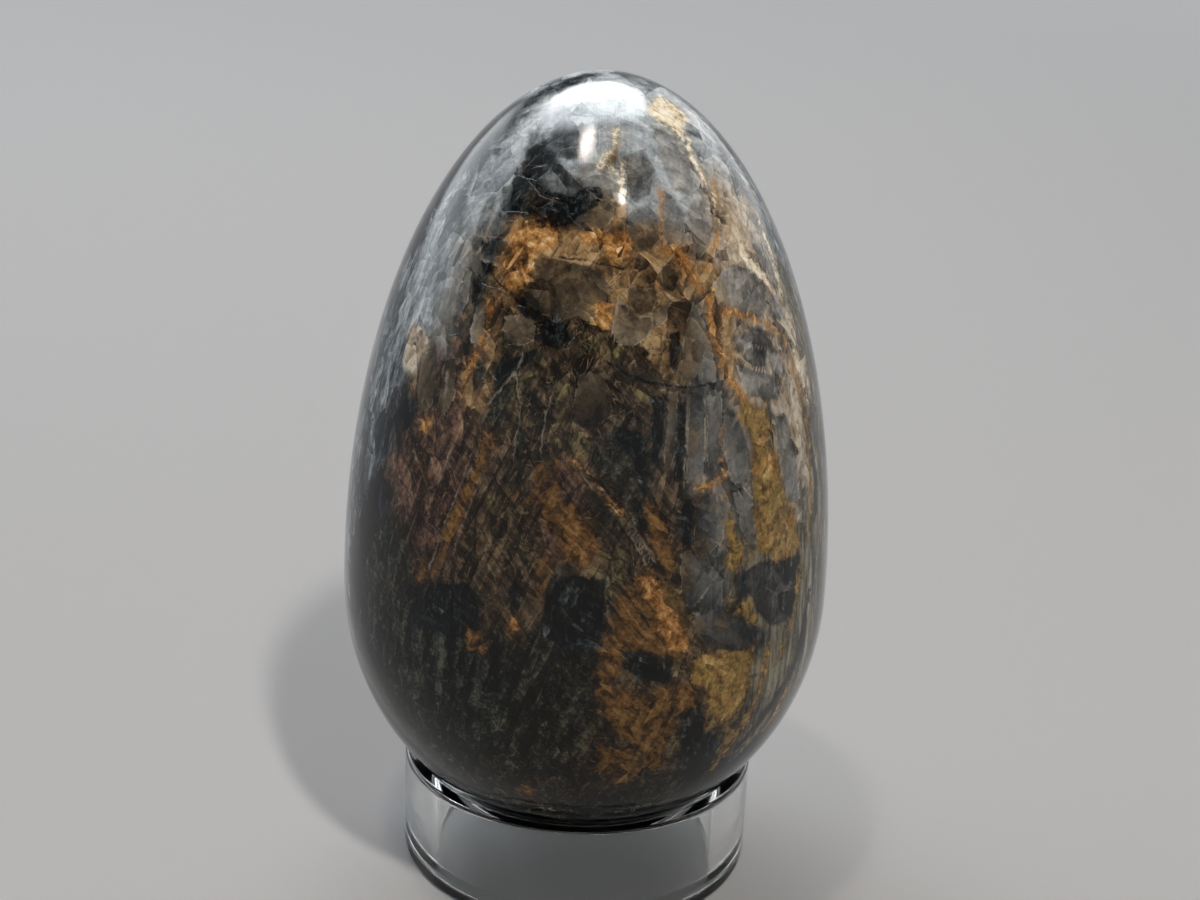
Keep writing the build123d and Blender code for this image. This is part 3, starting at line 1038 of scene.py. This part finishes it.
# A pale rim on parts of each clear shard's edge, partly a painted highlight where the edge faces the light
rim_highlight_colour = ramp(plus(clear_level, 0.3), (0.0, 0.05, 0.042, 0.032), (1.0, 0.7, 0.63, 0.52))
rim_and_highlight = between(sums("ABSOLUTE", sums("SUBTRACT", clear_in, 0.04)), 0.07, 0.01)
rim_and_highlight = times(rim_and_highlight, between(weighed((clear_light_facing, 0.15), (lump, 1.2), (grain, 0.6)), 0.0, 0.25))
colour = over(times(rim_and_highlight, bare), colour, rim_highlight_colour, 0.35)
black = ramp(
    lifted(0.4, (fine_blade, 0.7), (grain, 0.8), (crossing, 0.6), (chip, 0.35), (lump, 0.3)),
    (0.34, 0.001, 0.0015, 0.002),
    (0.48, 0.005, 0.008, 0.009),
    (0.62, 0.029, 0.037, 0.041),
    (0.82, 0.15, 0.168, 0.176),
)
black_in = weighed((black_depth, 1.0), (lump, 0.25), (chip, 0.4), (crossing, -0.35), (grain, 0.25))
colour = over(between(black_in, -0.5, 0.0), colour, black, 0.25)
colour = over(between(black_in, -0.06, 0.14), colour, black, 0.92)

# Iron stain on top, roughened by the crystals that it runs between
rust_depth, ochre_depth, cream_depth = kept("stains")
specks = noise(spot, 2.2, 3.0, 0.7)
stain_noise = lifted(
    -0.04, (lump, 0.5), (grain, 0.6), (specks, 0.5), (crossing, 0.35), (chip, 0.3), (right_splinter, 0.2)
)
blade_noise = weighed(
    (lump, 0.7), (grain, 0.65), (specks, 0.6), (fine_blade, 0.4), (chip, 0.3), (crossing, 0.3)
)


def stain(under, depth, roughening, lift, *stops):
    """A stain laid over a colour: ragged at its drawn edge, thin beyond it, in stops from dark to bright."""
    held = stone_node("ShaderNodeClamp", depth, -2.5, 0.8).outputs[0]
    edge = weighed((held, 0.6), (roughening, 0.75))
    tones = ramp(lifted(lift, (held, 0.16), (roughening, 1.15)), *stops)
    thin = over(between(edge, -0.7, 0.0), under, tones, 0.15)
    return over(between(edge, -0.1, 0.14), thin, tones, 0.93)


umber_stops = (
    (0.28, 0.014, 0.008, 0.004),
    (0.46, 0.05, 0.028, 0.011),
    (0.64, 0.135, 0.066, 0.02),
    (0.9, 0.28, 0.16, 0.055),
)
rust_stops = (
    (0.26, 0.03, 0.015, 0.007),
    (0.44, 0.13, 0.06, 0.018),
    (0.62, 0.32, 0.15, 0.042),
    (0.8, 0.54, 0.31, 0.115),
    (0.98, 0.78, 0.6, 0.37),
)
ochre_stops = (
    (0.22, 0.04, 0.023, 0.008),
    (0.42, 0.14, 0.088, 0.025),
    (0.62, 0.28, 0.178, 0.05),
    (0.82, 0.43, 0.295, 0.1),
    (1.0, 0.62, 0.49, 0.26),
)
cream_stops = (
    (0.34, 0.2, 0.13, 0.065),
    (0.5, 0.58, 0.47, 0.3),
    (0.66, 0.78, 0.7, 0.52),
    (0.85, 0.9, 0.86, 0.74),
)
colour = stain(colour, umber_depth, stain_noise, 0.54, *umber_stops)
colour = stain(colour, rust_depth, stain_noise, 0.58, *rust_stops)
colour = stain(colour, ochre_depth, blade_noise, 0.45, *ochre_stops)
# Ochre patches are flushed with orange in places
flush_tone = ramp(plus(stain_noise, 0.56), *rust_stops)
flush_spots = between(weighed((lump, 1.0), (cloud, 0.7)), 0.0, 0.16)
flush = times(between(ochre_depth, -0.4, 0.2), flush_spots)
colour = over(flush, colour, flush_tone, 0.6)
colour = stain(colour, cream_depth, blade_noise, 0.55, *cream_stops)

wander = weighed((lump, 0.7), (grain, 0.4))
crack_mask = times(line_mask(kept("cracks"), wander), between(plus(lump, grain), -0.2, 0.05))
colour = over(crack_mask, colour, black, 0.9)
seam_colour = ramp(plus(grain, 0.5), (0.3, 0.12, 0.1, 0.08), (0.7, 0.42, 0.37, 0.3))
seam_mask = times(line_mask(kept("seams"), wander), between(plus(lump, cloud), -0.15, 0.2))
colour = over(seam_mask, colour, seam_colour, 0.7)

stone = stone_tree.nodes["Principled BSDF"]
stone_tree.links.new(colour, stone.inputs["Base Color"])
stone.inputs["IOR"].default_value = 1.34
polish = stone_node("ShaderNodeMapRange", grain, -0.2, 0.2, 0.02, 0.07).outputs[0]
stone_tree.links.new(polish, stone.inputs["Roughness"])
# The harder crystals stand a little proud of the softer ones
proud = weighed((crystal, 0.5), (chip, 0.15), (lump, 0.15))
relief = stone_node("ShaderNodeBump", Strength=1.0, Distance=0.00006, Height=proud).outputs[0]
stone_tree.links.new(relief, stone.inputs["Normal"])


# Table top: a wide plain pale sheet that the ring stands on. It is matt and keeps only the object's
# shadow, and far off it turns into an even pale backdrop, which lights nothing.
floor_half = 4.0
floor_colour = (0.37, 0.376, 0.388, 1)
backdrop_tint = (0.97, 0.985, 1.0, 1)
backdrop_level = 0.5
backdrop_from = 0.2
backdrop_to = 0.65
floor_corners = [(-floor_half, -floor_half, 0), (floor_half, -floor_half, 0)]
floor_corners += [(floor_half, floor_half, 0), (-floor_half, floor_half, 0)]
floor_mesh = bpy.data.meshes.new("table_top")
floor_mesh.from_pydata(floor_corners, [], [(0, 1, 2, 3)])
floor = bpy.data.objects.new("table_top", floor_mesh)
bpy.context.scene.collection.objects.link(floor)
pale_top = bpy.data.materials.new("pale_top")
pale_top.use_nodes = True
floor_tree = pale_top.node_tree
floor_finish = floor_tree.nodes["Principled BSDF"]
floor_finish.inputs["Roughness"].default_value = 0.7
floor_finish.inputs["Specular IOR Level"].default_value = 0.0
floor_finish.inputs["Emission Color"].default_value = backdrop_tint
floor_place = add_node(floor_tree, "ShaderNodeTexCoord").outputs["Object"]
floor_reach = add_node(floor_tree, "ShaderNodeVectorMath", floor_place, operation="LENGTH").outputs["Value"]
far_off = add_node(floor_tree, "ShaderNodeMapRange", floor_reach, backdrop_from, backdrop_to, 0.0, 1.0)
far_off.interpolation_type = "SMOOTHSTEP"
floor_row = add_node(floor_tree, "ShaderNodeValToRGB", far_off.outputs[0])
floor_row.color_ramp.elements[0].color = floor_colour
floor_row.color_ramp.elements[1].color = (0.0, 0.0, 0.0, 1)
floor_tree.links.new(floor_row.outputs[0], floor_finish.inputs["Base Color"])


def backdrop(tree, share):
    """A share for what is seen straight, in polish or through clear pieces, and 0 for the light it gives."""
    ray = add_node(tree, "ShaderNodeLightPath").outputs
    seen = math_node(tree, "MAXIMUM", ray["Is Camera Ray"], ray["Is Glossy Ray"])
    seen = math_node(tree, "MAXIMUM", seen, ray["Is Transmission Ray"])
    return math_node(tree, "MULTIPLY", seen, share)


far_glow = math_node(floor_tree, "MULTIPLY", far_off.outputs[0], backdrop_level)
floor_tree.links.new(backdrop(floor_tree, far_glow), floor_finish.inputs["Emission Strength"])
floor_mesh.materials.append(pale_top)


# Studio light: a large panel above and behind, a low one at each side, and two small lamps in front.
# The sheen and the glints are panels that show in the polish and light nothing, and the two small lamps
# give light and don't show in it.
lamp_aim = Vector((0, 0, 0.04))


def panel(name, azimuth, elevation, distance, size, strength, colour, soft_from, lights=True, shows=True):
    """A soft-edged area lamp facing the egg. Azimuth 0 is the camera's side, and strength its radiance."""
    turn = math.radians(azimuth)
    rise = math.radians(elevation)
    level = Vector((math.sin(turn), -math.cos(turn), 0))
    towards = level * math.cos(rise) + Vector((0, 0, math.sin(rise)))
    light = bpy.data.lights.new(name, "AREA")
    light.shape = "RECTANGLE"
    light.size, light.size_y = size
    light.color = colour
    light.energy = strength * math.pi * size[0] * size[1]
    light.use_nodes = True
    tree = light.node_tree
    across = add_node(tree, "ShaderNodeNewGeometry").outputs["Parametric"]
    centred = add_node(tree, "ShaderNodeVectorMath", across, (0.5, 0.5, 0.0), operation="SUBTRACT").outputs[0]
    flat = add_node(tree, "ShaderNodeVectorMath", centred, (2.0, 2.0, 0.0), operation="MULTIPLY").outputs[0]
    out = add_node(tree, "ShaderNodeVectorMath", flat, operation="LENGTH").outputs["Value"]
    fade = add_node(tree, "ShaderNodeMapRange", out, 1.0, soft_from, 0.0, 1.0)
    fade.interpolation_type = "SMOOTHSTEP"
    tree.links.new(fade.outputs[0], tree.nodes["Emission"].inputs["Strength"])
    lamp = bpy.data.objects.new(name, light)
    lamp.location = lamp_aim + towards * distance
    lamp.rotation_euler = towards.to_track_quat("Z", "Y").to_euler()
    lamp.visible_diffuse = lights
    lamp.visible_glossy = shows
    bpy.context.scene.collection.objects.link(lamp)
    return lamp


white = (1, 1, 1)
panel("top_panel", -166, 52, 0.6, (0.74, 0.36), 6.0, white, 0.5)
panel("top_sheen", -168, 64, 0.61, (0.78, 0.64), 16.0, (0.88, 0.95, 1), 0.6, lights=False)
panel("left_panel", -122, 15, 0.7, (1.1, 0.4), 2.6, (0.9, 0.96, 1.0), 0.6)
panel("right_panel", 138, 14, 0.7, (0.7, 0.38), 1.6, white, 0.6)
panel("front_lamp", 22, 56, 0.6, (0.05, 0.085), 400.0, (1.0, 0.93, 0.84), 0.4, shows=False)
panel("small_lamp", -50, 77, 0.6, (0.055, 0.065), 155.0, (1.0, 0.88, 0.77), 0.4, shows=False)
panel("front_glint", 22, 56, 0.59, (0.065, 0.075), 60.0, (1.0, 0.88, 0.8), 0.2, lights=False)
small_glint = panel("small_glint", -50, 77, 0.59, (0.13, 0.3), 45.0, (1.0, 0.84, 0.76), 0.2, lights=False)
small_glint.rotation_euler.rotate_axis("Z", math.radians(35))

sky_light = 0.12
band_level = 0.38
band_from = 0.1
band_to = 0.4
world = bpy.data.worlds.new("studio")
world.use_nodes = True
sky_tree = world.node_tree
sky = sky_tree.nodes["Background"]
sky.inputs["Color"].default_value = backdrop_tint
# The backdrop goes on above the table's far edge
sky_side = add_node(sky_tree, "ShaderNodeTexCoord").outputs["Generated"]
sky_rise = add_node(sky_tree, "ShaderNodeSeparateXYZ", sky_side).outputs[2]
sky_band = add_node(sky_tree, "ShaderNodeMapRange", sky_rise, band_from, band_to, band_level, 0.0)
sky_band.interpolation_type = "SMOOTHSTEP"
sky_level = math_node(sky_tree, "ADD", backdrop(sky_tree, sky_band.outputs[0]), sky_light)
sky_tree.links.new(sky_level, sky.inputs["Strength"])
bpy.context.scene.world = world
bpy.context.scene.view_settings.view_transform = "Standard"


# Camera: a short telephoto held close and a little above the egg, looking down at it and rolled
# slightly, as the photograph was taken.
picture_width = 1200
focal_pixels = 2200
camera_distance = 0.1977
camera_rise = math.radians(25.26)
camera_dip = math.radians(22.73)
camera_pan = math.radians(0.27)
camera_roll = math.radians(2.6)
look_height = 0.030

lens = bpy.data.cameras.new("camera")
lens.sensor_fit = "HORIZONTAL"
lens.sensor_width = 36
lens.lens = lens.sensor_width * focal_pixels / picture_width
lens.clip_start = 0.005
camera = bpy.data.objects.new("camera", lens)
flat_forward = Vector((math.sin(camera_pan), math.cos(camera_pan), 0))
forward = flat_forward * math.cos(camera_dip) - Vector((0, 0, math.sin(camera_dip)))
level_right = Vector((math.cos(camera_pan), -math.sin(camera_pan), 0))
level_up = level_right.cross(forward)
right = level_right * math.cos(camera_roll) + level_up * math.sin(camera_roll)
up = level_up * math.cos(camera_roll) - level_right * math.sin(camera_roll)
turn = Matrix((right, up, -forward)).transposed()
stand_off = Vector((0, -math.cos(camera_rise), math.sin(camera_rise))) * camera_distance
camera.matrix_world = Matrix.Translation(Vector((0, 0, look_height)) + stand_off) @ turn.to_4x4()
bpy.context.scene.collection.objects.link(camera)
bpy.context.scene.camera = camera
